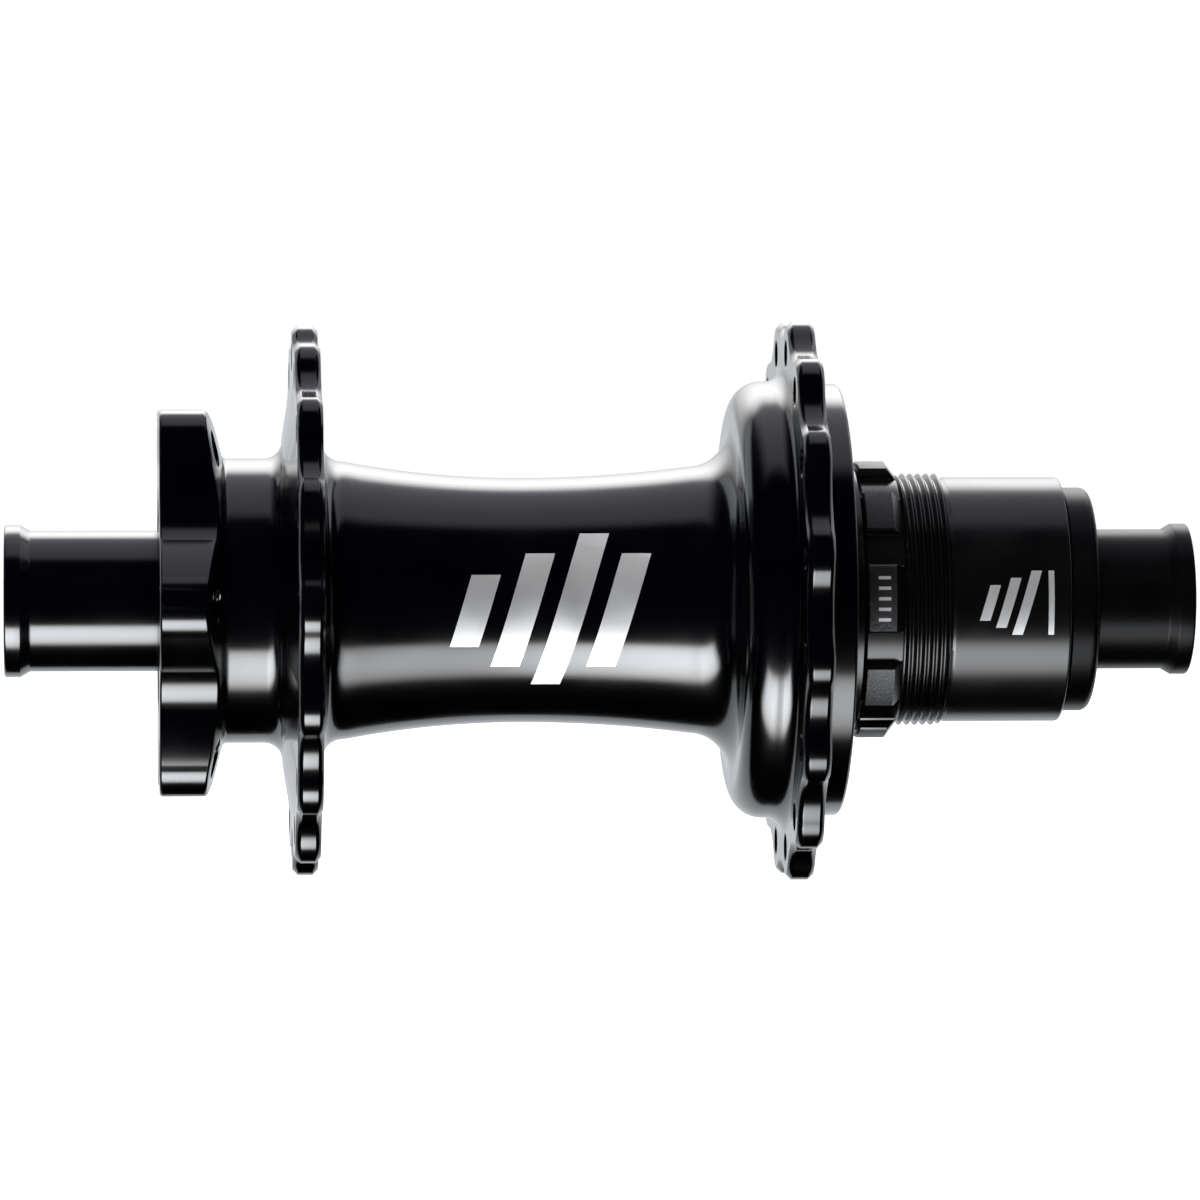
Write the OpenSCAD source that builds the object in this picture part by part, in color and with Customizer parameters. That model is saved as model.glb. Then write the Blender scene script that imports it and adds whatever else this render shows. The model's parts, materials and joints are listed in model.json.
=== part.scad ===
// Rear bicycle hub: 148 mm between the frame's dropouts, 12 mm through axle, six-bolt disc mount,
// two 16-hole flanges and a freewheel driver with six pawls.
// Millimetres. The axle line is the X axis, +X is the drive side and +Z is up. X = 0 is midway
// between the two end faces. Every profile below is a list of [radius, x] points.

/* [Overall] */
// Length between the two end faces, which the frame's dropouts hold
hub_length = 148; // [148:1:150]
// Radius of the hole for the 12 mm through axle
thru_bore_r = 6.05; // [6.02:0.01:6.1]
// Radius of the main axle where the bearings sit
axle_r = 7.5; // [7.5:0.5:7.5]
// Radius of the end caps' lips, which sit in the dropouts
lip_r = 9.45; // [9.3:0.05:9.5]

/* [Flanges] */
// Spoke holes in each flange
spokes_per_flange = 16; // [16:2:18]
// Radius of a spoke hole
spoke_hole_r = 1.3; // [1.2:0.05:1.4]
// Disc side: x of the flange's outer face
disc_flange_x = -38.3; // [-39:0.1:-38]
// Disc side: thickness of the flange
disc_flange_t = 3.2; // [3:0.1:3.4]
// Disc side: radius of the circle of spoke holes
disc_hole_circle = 30.25; // [30:0.05:30.5]
// Drive side: x of the flange's inner face
drive_flange_x = 22.9; // [22.7:0.1:23.1]
// Drive side: thickness of the flange
drive_flange_t = 3.4; // [3.2:0.1:3.6]
// Drive side: radius of the circle of spoke holes
drive_hole_circle = 31.3; // [31:0.05:31.4]
// Radius of the rounded end of each flange lobe
lobe_r = 4.6; // [4.5:0.05:4.7]
// How far a lobe's tip stands outside the circle of spoke holes
lobe_reach = 4; // [3.9:0.05:4.1]
// How far the valley between two lobes is below the lobes' tips
lobe_depth = 2.1; // [2:0.1:2.3]

/* [Disc mount] */
// Radius of the bolt circle
bolt_circle = 22; // [22:1:22]
// Number of bolts and arms
bolts = 6; // [6:1:6]
// Radius of the drilled hole for an M5 thread
bolt_hole_r = 2.1; // [2.1:0.05:2.2]
// Radius of the round end of each arm
arm_r = 4.7; // [4.6:0.1:4.9]
// Radius of the scallop between two arms
scallop_r = 8.3; // [8:0.1:8.6]
// Least radius of the mount, at the bottom of a scallop
scallop_floor = 20.6; // [20.3:0.1:20.8]
// x of the face that the disc sits on
disc_face_x = -54.9; // [-55:0.1:-54.8]

/* [Driver] */
// Radius over the splines
spline_r = 17.3; // [17.2:0.05:17.3]
// Radius of the floor between the splines
spline_floor_r = 15.9; // [15.8:0.05:16]
// Radius of the smooth barrel
barrel_r = 15.3; // [15.2:0.05:15.4]
// Crest radius of the thread
thread_r = 15.75; // [15.7:0.01:15.75]
// Pitch of the thread
thread_pitch = 1; // [1:0.05:1.05]

/* [Ratchet] */
// Teeth inside the drive ring
ring_teeth = 115; // [115:1:115]
// Radius to the tips of those teeth
tooth_tip_r = 19.5; // [19.5:0.1:19.6]
// Depth of a tooth
tooth_depth = 0.55; // [0.5:0.05:0.55]
// Number of pawls
pawls = 6; // [6:1:6]
// Radius of the circle on which the pawls pivot
pawl_circle = 15.6; // [15.5:0.05:15.6]

/* [Hidden] */
$fn = 96;

end_x = hub_length / 2;
edge = 0.4;                 // small chamfers
running_gap = 0.05;         // radial clearance of a seal's lip on what turns in it
eps = 0.01;
black = [0.05, 0.05, 0.055];
satin_black = [0.1, 0.1, 0.11];
bearing_steel = [0.72, 0.73, 0.75];
tool_steel = [0.45, 0.46, 0.48];
rubber = [0.08, 0.08, 0.08];
cage_colour = [0.55, 0.42, 0.2];

// Each bearing is [outer radius, width, ball radius, balls]; all fit the same axle.
bearing_28 = [14, 7, 1.75, 13];
bearing_24 = [12, 5, 1.19, 18];
disc_bearing_x = -50.5;     // the low-x face of each bearing
shell_bearing_x = 10.5;
driver_inboard_x = 21;
driver_outboard_x = 51;
middle_r = 8.75;            // thick middle of the axle, and the spacers
track_gap = 0.02;           // a ball's clearance in its track

axle_end_x = 67.4;          // the caps cover the axle's ends
cap_socket_r = 7.52;
cap_tube_r = 8.75;
cap_groove_x = 64;
o_ring_r = 0.35;
o_ring_circle = 7.87;
cap_collar_r = 10.5;
cover_r = 14;
cover_x = 57.9;
cover_t = 3.5;

shell_bore_r = 12.2;
core_r = 19;                // round core of the disc mount
disc_flange_end = disc_flange_x + disc_flange_t;
drive_flange_end = drive_flange_x + drive_flange_t;
drive_phase = 180 / spokes_per_flange;  // the drive side's holes face the disc side's valleys
cove_x = 11.1;              // where the waist starts to turn up to the ratchet's housing
cove_r = 5.3;
shoulder_r = 3.9;
neck_r = 17.7;
neck_x = [-47.5, -41.8];
waist_r = 15.25;
waist_x = -10;              // x of the waist's narrowest ring
waist_bend = [117, 161];    // its bend radii, towards the disc side and the drive side
housing_r = 27.3;           // round housing of the ratchet
rim_r = 27;
rim_x = 29.8;
ring_seat_r = 23.5;
ring_x = [19.6, 27.5];
housing_floor_x = 17.5;
carrier_x = [19.8, 27.3];
carrier_r = 18.9;
driver_neck_r = 16.6;
spline_x = [32, 36.8];
thread_x = [36.9, 43.1];
barrel_end_x = 57.6;
driver_bore_r = 10.5;
snap_x = [56.1, 57.1];
splines = 9;
spline_phase = 178;         // angle of the middle of the wide spline
pawl_x = [20.6, 26.6];
pawl_gap = 0.05;
pawl_pin_r = 1.6;
ring_phase = -25.18;        // brings a tooth to the first pawl's nose

// A solid of revolution about the axle line
module turned(profile) {
    rotate([0, 90, 0]) rotate_extrude() polygon(profile);
}

module tube(x0, x1, inner, outer) {
    turned([[inner, x0], [outer, x0], [outer, x1], [inner, x1]]);
}

// Places an outline, drawn with its first axis pointing away from the axle line, at height x
module plate(x0, x1) {
    translate([x0, 0, 0]) rotate([90, 0, 90]) linear_extrude(x1 - x0) children();
}

// Points on an arc, from angle a0 to a1 in steps n
function arc(centre, r, a0, a1, n) =
    [for (i = [0:n]) centre + r * [cos(a0 + (a1 - a0) * i / n), sin(a0 + (a1 - a0) * i / n)]];

function turn(p, a) = [p.x * cos(a) - p.y * sin(a), p.x * sin(a) + p.y * cos(a)];

// Outline with round lobes of radius r1 on a circle, and a hollow of radius r2 between each two.
// Where lobe and hollow don't touch, a straight line that is tangent to both joins them.
module lobed_outline(count, circle_r, r1, hollow_circle, r2, phase) {
    half = 180 / count;
    reach = [hollow_circle * cos(half) - circle_r, hollow_circle * sin(half)];
    flank = atan2(reach.y, reach.x) - acos(min(1, (r1 + r2) / norm(reach)));
    lobe = arc([circle_r, 0], r1, -flank, flank, 10);
    hollow = arc([hollow_circle, 0], r2, 180 + flank - half, 180 - flank + half, 8);
    polygon([for (i = [0:count - 1])
        each concat(
            [for (p = lobe) turn(p, phase + 2 * i * half)],
            [for (p = hollow) turn(p, phase + (2 * i + 1) * half)])]);
}

// ---- bearings ----

function pitch_r(b) = (axle_r + b[0]) / 2;
function land(b) = 0.56 * b[2];

module track(b) {
    translate([pitch_r(b), b[1] / 2]) circle(r = b[2] + track_gap);
}

module at_bearing(x) {
    translate([x, 0, 0]) rotate([0, 90, 0]) children();
}

module inner_ring(x, b) {
    color(bearing_steel) at_bearing(x) rotate_extrude() difference() {
        translate([axle_r, 0]) square([pitch_r(b) - land(b) - axle_r, b[1]]);
        track(b);
    }
}

module outer_ring(x, b) {
    color(bearing_steel) at_bearing(x) rotate_extrude() difference() {
        translate([pitch_r(b) + land(b), 0]) square([b[0] - pitch_r(b) - land(b), b[1]]);
        track(b);
    }
}

// Places a copy at the middle of each ball; the copy's +Z points away from the axle line
module at_balls(x, b) {
    for (i = [0:b[3] - 1])
        translate([x + b[1] / 2, 0, 0]) rotate([i * 360 / b[3], 0, 0])
            translate([0, 0, pitch_r(b)]) children();
}

// A ball cage: one ring, with a round pocket for each ball
module cage(x, b) {
    half = 0.3 * b[2];
    wide = 1.3 * b[2];
    color(cage_colour) difference() {
        tube(x + b[1] / 2 - wide, x + b[1] / 2 + wide, pitch_r(b) - half, pitch_r(b) + half);
        at_balls(x, b) cylinder(h = 3 * half, r = b[2] + 0.05, center = true, $fn = 32);
    }
}

// A pair of thin shields, fixed in the outer ring and clear of the inner one
module shields(x, b) {
    inset = 0.25;
    thick = 0.3;
    color(rubber) for (x0 = [x + inset, x + b[1] - inset - thick])
        tube(x0, x0 + thick, pitch_r(b) - land(b) + 0.1, pitch_r(b) + land(b));
}

module ball_set(x, b) {
    color(bearing_steel) at_balls(x, b) sphere(r = b[2], $fn = 48);
}

// ---- axle ----

module axle() {
    color(satin_black) turned([
        [thru_bore_r, -axle_end_x], [axle_r - edge, -axle_end_x], [axle_r, -axle_end_x + edge],
        [axle_r, disc_bearing_x + bearing_28[1]], [middle_r, disc_bearing_x + bearing_28[1]],
        [middle_r, shell_bearing_x], [axle_r, shell_bearing_x],
        [axle_r, axle_end_x - edge], [axle_r - edge, axle_end_x], [thru_bore_r, axle_end_x]]);
}

module axle_spacer() {
    color(satin_black) tube(shell_bearing_x + bearing_28[1], driver_inboard_x, axle_r, middle_r);
}

module driver_spacer() {
    color(satin_black)
        tube(driver_inboard_x + bearing_24[1], driver_outboard_x, axle_r, middle_r);
}

// The lip, the tube and the bore that both caps share, for the drive side, from x = from outwards
function cap_outside(from) = [
    [cap_tube_r, from], [cap_tube_r, end_x - 3.3], [lip_r - 0.1, end_x - 2.1],
    [lip_r, end_x - 1.9], [lip_r, end_x - edge], [lip_r - edge, end_x],
    [thru_bore_r + edge, end_x], [thru_bore_r, end_x - edge],
    [thru_bore_r, axle_end_x + 0.1], [cap_socket_r, axle_end_x + 0.1],
    [cap_socket_r, cap_groove_x + 0.6], [8.24, cap_groove_x + 0.6],
    [8.24, cap_groove_x - 0.6], [cap_socket_r, cap_groove_x - 0.6]];

module disc_end_cap() {
    inner = -disc_bearing_x;
    collar = -disc_face_x - 0.1;
    color(black) mirror([1, 0, 0]) turned(concat(
        cap_outside(collar),
        [[cap_socket_r, inner], [9.6, inner], [9.6, inner + 0.8],
         [cap_collar_r, inner + 0.8], [cap_collar_r, collar]]));
}

module drive_end_cap() {
    inner = driver_outboard_x + bearing_24[1];
    rounding = 1.1;
    cover_end = cover_x + cover_t;
    color(black) turned(concat(
        cap_outside(cover_end + 0.6),
        [[cap_socket_r, inner], [9, inner], [9, inner + 1.4], [cap_collar_r, inner + 1.4],
         [cap_collar_r, cover_x], [cover_r - 0.15, cover_x], [cover_r, cover_x + 0.15]],
        arc([cover_r - rounding, cover_end - rounding], rounding, 0, 90, 6),
        [[8.5, cover_end], [8.5, cover_end + 0.6]]));
}

module end_cap_o_rings() {
    color(rubber) for (x = [-cap_groove_x, cap_groove_x])
        at_bearing(x) rotate_extrude()
            translate([o_ring_circle, 0]) circle(r = o_ring_r, $fn = 32);
}

// ---- hub shell ----

// Outline of a spoke flange; each valley's radius is the one that is tangent to both its lobes
module flange_outline(hole_circle, phase) {
    half = 180 / spokes_per_flange;
    circle_r = hole_circle + lobe_reach - lobe_r;
    floor_r = hole_circle + lobe_reach - lobe_depth;
    rise = floor_r - circle_r * cos(half);
    across = circle_r * sin(half);
    valley_r = (rise * rise + across * across - lobe_r * lobe_r) / (2 * (lobe_r - rise));
    lobed_outline(spokes_per_flange, circle_r, lobe_r, floor_r + valley_r, valley_r, phase);
}

// One side of the waist, which swells slowly from its narrowest ring
function waist_side(x0, x1, bend, n) =
    [for (i = [0:n]) let (x = x0 + (x1 - x0) * i / n) [waist_at(x, bend), x]];

function waist_at(x, bend) = waist_r + bend - sqrt(bend * bend - pow(x - waist_x, 2));

// Outside of the shell, without its lobes and arms
function shell_outside() = concat(
    [[0, disc_face_x], [core_r, disc_face_x], [core_r, neck_x[0] - 0.6], [neck_r, neck_x[0]]],
    arc([neck_r + 2.3, neck_x[1]], 2.3, 180, 90, 6),
    [[29, disc_flange_x - 0.2], [29, disc_flange_end], [20, disc_flange_end + 0.5]],
    arc([19.9, -32], 2.6, 270, 180, 6),
    waist_side(-31.5, waist_x, waist_bend[0], 8),
    waist_side(waist_x + 2, cove_x, waist_bend[1], 8),
    arc([waist_at(cove_x, waist_bend[1]) + cove_r, cove_x], cove_r, 170, 90, 7),
    arc([housing_r - shoulder_r, cove_x + cove_r + shoulder_r], shoulder_r, 270, 360, 8),
    arc([housing_r + 2.2, drive_flange_x - 2.2], 2.2, 180, 90, 6),
    [[29.8, drive_flange_x], [29.8, drive_flange_end], [rim_r + 0.5, drive_flange_end],
     [rim_r, drive_flange_end + 0.5], [rim_r, rim_x - edge], [rim_r - edge, rim_x], [0, rim_x]]);

// Everything that is bored out of the shell: two bearing seats and the ratchet's housing
function shell_inside() = [
    [0, disc_face_x - 1], [bearing_28[0], disc_face_x - 1],
    [bearing_28[0], disc_bearing_x + bearing_28[1]],
    [shell_bore_r, disc_bearing_x + bearing_28[1]], [shell_bore_r, shell_bearing_x],
    [bearing_28[0], shell_bearing_x], [bearing_28[0], housing_floor_x],
    [tooth_tip_r, housing_floor_x], [tooth_tip_r, ring_x[0]],
    [ring_seat_r, ring_x[0]], [ring_seat_r, rim_x + 1], [0, rim_x + 1]];

// The six arms, cut back behind to a cone
module disc_mount() {
    intersection() {
        plate(disc_face_x, neck_x[0] + 0.5)
            lobed_outline(bolts, bolt_circle, arm_r, scallop_floor + scallop_r, scallop_r, 0);
        turned([[0, disc_face_x], [27.2, disc_face_x], [27.2, -49.3], [18, neck_x[0] + 0.5],
            [0, neck_x[0] + 0.5]]);
    }
}

module spoke_holes(x, thickness, hole_circle, phase) {
    sink = 0.45;
    for (i = [0:spokes_per_flange - 1])
        rotate([phase + i * 360 / spokes_per_flange, 0, 0]) translate([x, hole_circle, 0])
            rotate([0, 90, 0]) {
                translate([0, 0, -1]) cylinder(h = thickness + 2, r = spoke_hole_r, $fn = 32);
                translate([0, 0, -eps]) cylinder(h = sink, r1 = spoke_hole_r + sink,
                    r2 = spoke_hole_r, $fn = 32);
                translate([0, 0, thickness - sink + eps])
                    cylinder(h = sink, r1 = spoke_hole_r, r2 = spoke_hole_r + sink, $fn = 32);
            }
}

module hub_shell() {
    color(black) difference() {
        union() {
            turned(shell_outside());
            plate(disc_flange_x, disc_flange_end) flange_outline(disc_hole_circle, 0);
            plate(drive_flange_x, drive_flange_end)
                flange_outline(drive_hole_circle, drive_phase);
            disc_mount();
        }
        turned(shell_inside());
        spoke_holes(disc_flange_x, disc_flange_t, disc_hole_circle, 0);
        spoke_holes(drive_flange_x, drive_flange_t, drive_hole_circle, drive_phase);
        for (i = [0:bolts - 1])
            rotate([i * 360 / bolts, 0, 0]) translate([disc_face_x - 1, bolt_circle, 0])
                rotate([0, 90, 0]) cylinder(h = 12, r = bolt_hole_r, $fn = 32);
    }
}

// ---- seals ----

module disc_dust_seal() {
    color(rubber) tube(disc_face_x + 0.6, disc_face_x + 2.4, cap_collar_r + running_gap,
        bearing_28[0]);
}

// The seal's lip thins towards the driver's neck
module driver_lip_seal() {
    lip = driver_neck_r + running_gap;
    color(rubber) turned([[lip, 28.4], [18.5, 27.9], [ring_seat_r, 27.9], [ring_seat_r, 29.2],
        [18.5, 29.2], [lip, 28.7]]);
}

// ---- ratchet ----

// Ring with saw teeth inside: from each tip the steep face drops, then a ramp rises to the next tip
module drive_ring() {
    pitch = 360 / ring_teeth;
    tip = 0.06 * pitch;
    root = 0.2 * pitch;
    color(tool_steel) plate(ring_x[0], ring_x[1]) difference() {
        circle(r = ring_seat_r, $fn = 120);
        polygon([for (i = [0:ring_teeth - 1])
            let (a = ring_phase + i * pitch)
            each [turn([tooth_tip_r, 0], a - tip), turn([tooth_tip_r, 0], a + tip),
                turn([tooth_tip_r + tooth_depth, 0], a + root)]]);
    }
}

// A pawl's outline about its own pivot, swung in: pin, arm and tooth
pawl_arm = [[1.55, -0.4], [1.76, -6.94], [1.94, -8.18], [1.28, -7.82], [0.95, -8.25],
    [-0.75, -7.95], [-1.5, -0.6]];
// The pocket that the arm swings in, and the leaf spring that lies on its floor
pawl_pocket = [[-1.63, -0.3], [-2.1, -3], [-1.9, -8.6], [0.5, -9.3], [6, -9.3], [6, -0.6],
    [1.8, -0.2], [1.5, 0]];
leaf_spring = [[-2, -3.3], [-1.95, -5], [-1.05, -7.4], [-0.86, -7.3], [-1.72, -4.9],
    [-1.75, -3.3]];

module at_pawl(i, x0, x1) {
    plate(x0, x1) rotate(i * 360 / pawls) translate([pawl_circle, 0]) children();
}

module pawl(i) {
    x0 = pawl_x[0] + pawl_gap;
    x1 = pawl_x[1] - pawl_gap;
    color(tool_steel) union() {
        at_pawl(i, x0, x1) circle(r = pawl_pin_r, $fn = 32);
        at_pawl(i, x0, x1) polygon(pawl_arm);
    }
}

module pawl_springs() {
    color(bearing_steel) for (i = [0:pawls - 1])
        at_pawl(i, pawl_x[0] + 1.5, pawl_x[1] - 1.5) polygon(leaf_spring);
}

// ---- driver ----

// Rings of the thread, from crest to root
function thread_profile() = [for (x = [thread_x[0]:thread_pitch:thread_x[1] - thread_pitch])
    each [[thread_r - 0.65, x], [thread_r, x + 0.4 * thread_pitch],
        [thread_r, x + 0.6 * thread_pitch], [thread_r - 0.65, x + thread_pitch]]];

function driver_outside() = concat(
    [[0, carrier_x[0]], [carrier_r, carrier_x[0]], [carrier_r, carrier_x[1]],
     [driver_neck_r, carrier_x[1]], [driver_neck_r, spline_x[0]], [spline_r, spline_x[0]],
     [spline_r, spline_x[1] - 1.2], [spline_floor_r - 0.1, spline_x[1]]],
    thread_profile(),
    [[barrel_r, thread_x[1] + 0.1], [barrel_r, barrel_end_x - edge],
     [barrel_r - edge, barrel_end_x], [0, barrel_end_x]]);

function driver_inside() = [
    [0, carrier_x[0] - 1], [bearing_24[0], carrier_x[0] - 1],
    [bearing_24[0], driver_inboard_x + bearing_24[1]],
    [driver_bore_r, driver_inboard_x + bearing_24[1]], [driver_bore_r, driver_outboard_x],
    [bearing_24[0], driver_outboard_x], [bearing_24[0], snap_x[0]],
    [bearing_24[0] + 0.6, snap_x[0]], [bearing_24[0] + 0.6, snap_x[1]],
    [bearing_24[0], snap_x[1]], [bearing_24[0], barrel_end_x + 1], [0, barrel_end_x + 1]];

// Splines are 21 degrees wide, but for one wide one that keys the cassette
module spline_grooves() {
    pitch = 360 / splines;
    for (i = [0:splines - 1]) {
        from = i == 0 ? 14.3 : 10.5;
        to = i == splines - 1 ? 14.3 : 10.5;
        rotate(spline_phase + i * pitch) polygon([
            turn([spline_floor_r - 1, 0], from), turn([20, 0], from),
            turn([20, 0], pitch - to), turn([spline_floor_r - 1, 0], pitch - to)]);
    }
}

module driver_body() {
    color(satin_black) difference() {
        turned(driver_outside());
        turned(driver_inside());
        plate(spline_x[0] - eps, spline_x[1]) difference() {
            spline_grooves();
            circle(r = spline_floor_r);
        }
        for (i = [0:pawls - 1])
            at_pawl(i, pawl_x[0], pawl_x[1]) {
                circle(r = pawl_pin_r + pawl_gap, $fn = 32);
                polygon(pawl_pocket);
            }
    }
}

module driver_snap_ring() {
    color(tool_steel) difference() {
        tube(snap_x[0] + pawl_gap, snap_x[1] - pawl_gap, 10.6, bearing_24[0] + 0.55);
        translate([snap_x[0] - 1, -2, 9]) cube([3, 4, 5]);
    }
}

axle();
disc_end_cap();
drive_end_cap();
end_cap_o_rings();
inner_ring(disc_bearing_x, bearing_28);  // disc_bearing_inner_ring
outer_ring(disc_bearing_x, bearing_28);  // disc_bearing_outer_ring
ball_set(disc_bearing_x, bearing_28);  // disc_bearing_balls
cage(disc_bearing_x, bearing_28);  // disc_bearing_cage
shields(disc_bearing_x, bearing_28);  // disc_bearing_shields
inner_ring(shell_bearing_x, bearing_28);  // shell_bearing_inner_ring
outer_ring(shell_bearing_x, bearing_28);  // shell_bearing_outer_ring
ball_set(shell_bearing_x, bearing_28);  // shell_bearing_balls
cage(shell_bearing_x, bearing_28);  // shell_bearing_cage
shields(shell_bearing_x, bearing_28);  // shell_bearing_shields
inner_ring(driver_inboard_x, bearing_24);  // driver_inboard_inner_ring
outer_ring(driver_inboard_x, bearing_24);  // driver_inboard_outer_ring
ball_set(driver_inboard_x, bearing_24);  // driver_inboard_balls
cage(driver_inboard_x, bearing_24);  // driver_inboard_cage
shields(driver_inboard_x, bearing_24);  // driver_inboard_shields
inner_ring(driver_outboard_x, bearing_24);  // driver_outboard_inner_ring
outer_ring(driver_outboard_x, bearing_24);  // driver_outboard_outer_ring
ball_set(driver_outboard_x, bearing_24);  // driver_outboard_balls
cage(driver_outboard_x, bearing_24);  // driver_outboard_cage
shields(driver_outboard_x, bearing_24);  // driver_outboard_shields
axle_spacer();
driver_spacer();
hub_shell();
drive_ring();
disc_dust_seal();
driver_lip_seal();
driver_body();
driver_snap_ring();
pawl_springs();
pawl(0);  // pawl_1
pawl(1);  // pawl_2
pawl(2);  // pawl_3
pawl(3);  // pawl_4
pawl(4);  // pawl_5
pawl(5);  // pawl_6
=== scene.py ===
"""Looks of the rear hub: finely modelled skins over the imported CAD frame, materials, studio and camera.

The axle line is the X axis and +X is the drive side. Sizes below are in millimetres; MM turns
them into the scene's metres. An angle about the axle line is measured from +Y towards +Z.
"""

import json
import math

import bmesh
import bpy
import numpy as np
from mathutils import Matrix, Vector


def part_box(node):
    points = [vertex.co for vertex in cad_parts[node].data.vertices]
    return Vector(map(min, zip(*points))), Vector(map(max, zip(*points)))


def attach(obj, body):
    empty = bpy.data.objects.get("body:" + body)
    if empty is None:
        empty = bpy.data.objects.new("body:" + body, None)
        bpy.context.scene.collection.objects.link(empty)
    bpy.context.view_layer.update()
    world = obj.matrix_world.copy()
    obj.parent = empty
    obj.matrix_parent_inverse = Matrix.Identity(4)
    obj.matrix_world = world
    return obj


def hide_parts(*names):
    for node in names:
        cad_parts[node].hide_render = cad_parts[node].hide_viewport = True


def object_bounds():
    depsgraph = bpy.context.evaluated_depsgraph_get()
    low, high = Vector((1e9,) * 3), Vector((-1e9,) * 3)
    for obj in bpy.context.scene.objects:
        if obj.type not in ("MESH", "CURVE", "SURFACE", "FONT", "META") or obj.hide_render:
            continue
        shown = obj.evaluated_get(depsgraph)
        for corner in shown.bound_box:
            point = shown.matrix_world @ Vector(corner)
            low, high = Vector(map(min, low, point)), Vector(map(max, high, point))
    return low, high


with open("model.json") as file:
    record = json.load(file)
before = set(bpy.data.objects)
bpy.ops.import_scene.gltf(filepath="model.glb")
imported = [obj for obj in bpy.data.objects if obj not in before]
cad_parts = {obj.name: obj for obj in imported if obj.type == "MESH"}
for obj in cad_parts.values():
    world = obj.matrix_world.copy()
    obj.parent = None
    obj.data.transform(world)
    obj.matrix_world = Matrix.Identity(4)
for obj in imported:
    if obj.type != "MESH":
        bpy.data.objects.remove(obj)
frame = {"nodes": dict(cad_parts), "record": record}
cad_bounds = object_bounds()

MM = 0.001
TURN = 2 * math.pi
VIEWER = math.pi  # the angle of the side that faces the camera

# ---- dimensions: from the frame first, then the details that only the skins have ----

MOUNTS = {m["name"]: m for m in frame["record"]["mounts"]}


def span(node):
    """Lowest and highest x of a CAD node, in millimetres."""
    low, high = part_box(node)
    return low.x / MM, high.x / MM


def radius_of(node):
    """Greatest radius of a CAD node about the axle line, in millimetres."""
    co = np.array([v.co for v in frame["nodes"][node].data.vertices])
    return float(np.hypot(co[:, 1], co[:, 2]).max()) / MM


def place(mount):
    return MOUNTS[mount]["pos_m"][0] / MM


def size(mount, key):
    return MOUNTS[mount]["dims"][key]


DISC_FACE, RIM_FACE = span("hub_shell")
CARRIER_START, BARREL_END = span("driver_body")
DRIVE_END = span("drive_end_cap")[1]
BORE_R = size("thru_axle_bore", "r_mm")
LIP_R = size("drive_end_lip", "r_mm")
BARREL_R = size("cassette_barrel", "r_mm")
BEARING_28_R = radius_of("disc_bearing_outer_ring")
BEARING_24_R = radius_of("driver_inboard_outer_ring")
RING_SEAT_R = radius_of("drive_ring")
SPOKES = size("disc_side_spokes", "count")
SPOKE_R = size("disc_side_spokes", "hole_r_mm")
SPOKE_SINK = 0.6
BOLTS = size("disc_bolts", "count")
BOLT_R = size("disc_bolts", "hole_r_mm")
BOLT_CIRCLE = size("disc_bolts", "pcd_mm") / 2

DISC_FLANGE_T, DRIVE_FLANGE_T = 3.2, 3.4
DISC_FLANGE = (place("disc_side_spokes"), place("disc_side_spokes") + DISC_FLANGE_T)
DRIVE_FLANGE = (place("drive_side_spokes") - DRIVE_FLANGE_T, place("drive_side_spokes"))
LOBE_R = 4.6
LOBE_REACH = 3.99
LOBE_DEPTH = 2.1
DRIVE_PHASE = math.pi / SPOKES
FLANGE_CHAMFER = 0.65

ARM_R = 4.7
SCALLOP_R = 8.3
SCALLOP_FLOOR = 20.6
MOUNT_BACK = ((27.2, -49.3), (18.0, -47.0))  # two points on the cone behind the arms
NECK_R = 17.7
NECK_END = -41.8
NECK_FILLET = 2.3
WAIST_R = 15.25
WAIST_X = -10.0
WAIST_BEND = (117.0, 161.0)
COVE_X, COVE_R = 11.1, 5.3
HOUSING_R, SHOULDER_R = 27.3, 3.9
FLANGE_FILLET = 2.2
RIM_R = 27.0
SHELL_BORE_R = 12.2
DISC_BEARING_END, SHELL_BEARING_START = -43.5, 10.5  # where the two bearing seats stop
HOUSING_FLOOR, RING_START, TOOTH_TIP_R = 17.5, 19.6, 19.5  # inside the ratchet's housing
FLANGE_LAND = 2.4  # how far inside the circle of holes a flange's flat face starts

CAP_TUBE_R = 8.75
SOCKET_R = 7.52
GROOVE_R, GROOVE_X = 8.24, (63.4, 64.6)
AXLE_END = 67.5

CARRIER_R, CARRIER_END = 18.9, 27.3
DRIVER_NECK_R = 16.6
SPLINE_X = (32.0, 35.6, 36.8)  # start, start of the end bevel, end
SPLINE_R, SPLINE_FLOOR = 17.3, 15.9
SPLINES = 9
SPLINE_HALF, WIDE_HALF = 10.5, 14.3  # half widths in degrees
SPLINE_PHASE = 178.0
THREAD_X = (36.9, 42.9)
THREAD_R, THREAD_ROOT, THREAD_PITCH = 15.75, 15.1, 1.0
DRIVER_BORE_R = 10.5
SNAP_X, SNAP_R = (56.1, 57.1), 12.6
DRIVER_BEARINGS = (26.0, 51.0)  # where the seats of the driver's two bearings stop
PAWLS = 6
PAWL_CIRCLE, PAWL_PIN_R = 15.6, 1.65
PAWL_X = (20.6, 26.6)
PAWL_POCKET = ((-1.63, -0.3), (-2.1, -3.0), (-1.9, -8.6), (0.5, -9.3), (6.0, -9.3), (6.0, -0.6),
               (1.8, -0.2), (1.5, 0.0))

COLUMNS = 576  # columns round the shell: a whole number for each lobe and each arm


# ---- mesh making ----


def new_object(name, vertices, faces):
    mesh = bpy.data.meshes.new(name)
    mesh.from_pydata(vertices, [], faces)
    mesh.validate()
    obj = bpy.data.objects.new(name, mesh)
    bpy.context.scene.collection.objects.link(obj)
    return obj


def ring_angles(count):
    return np.arange(count) * TURN / count


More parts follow.
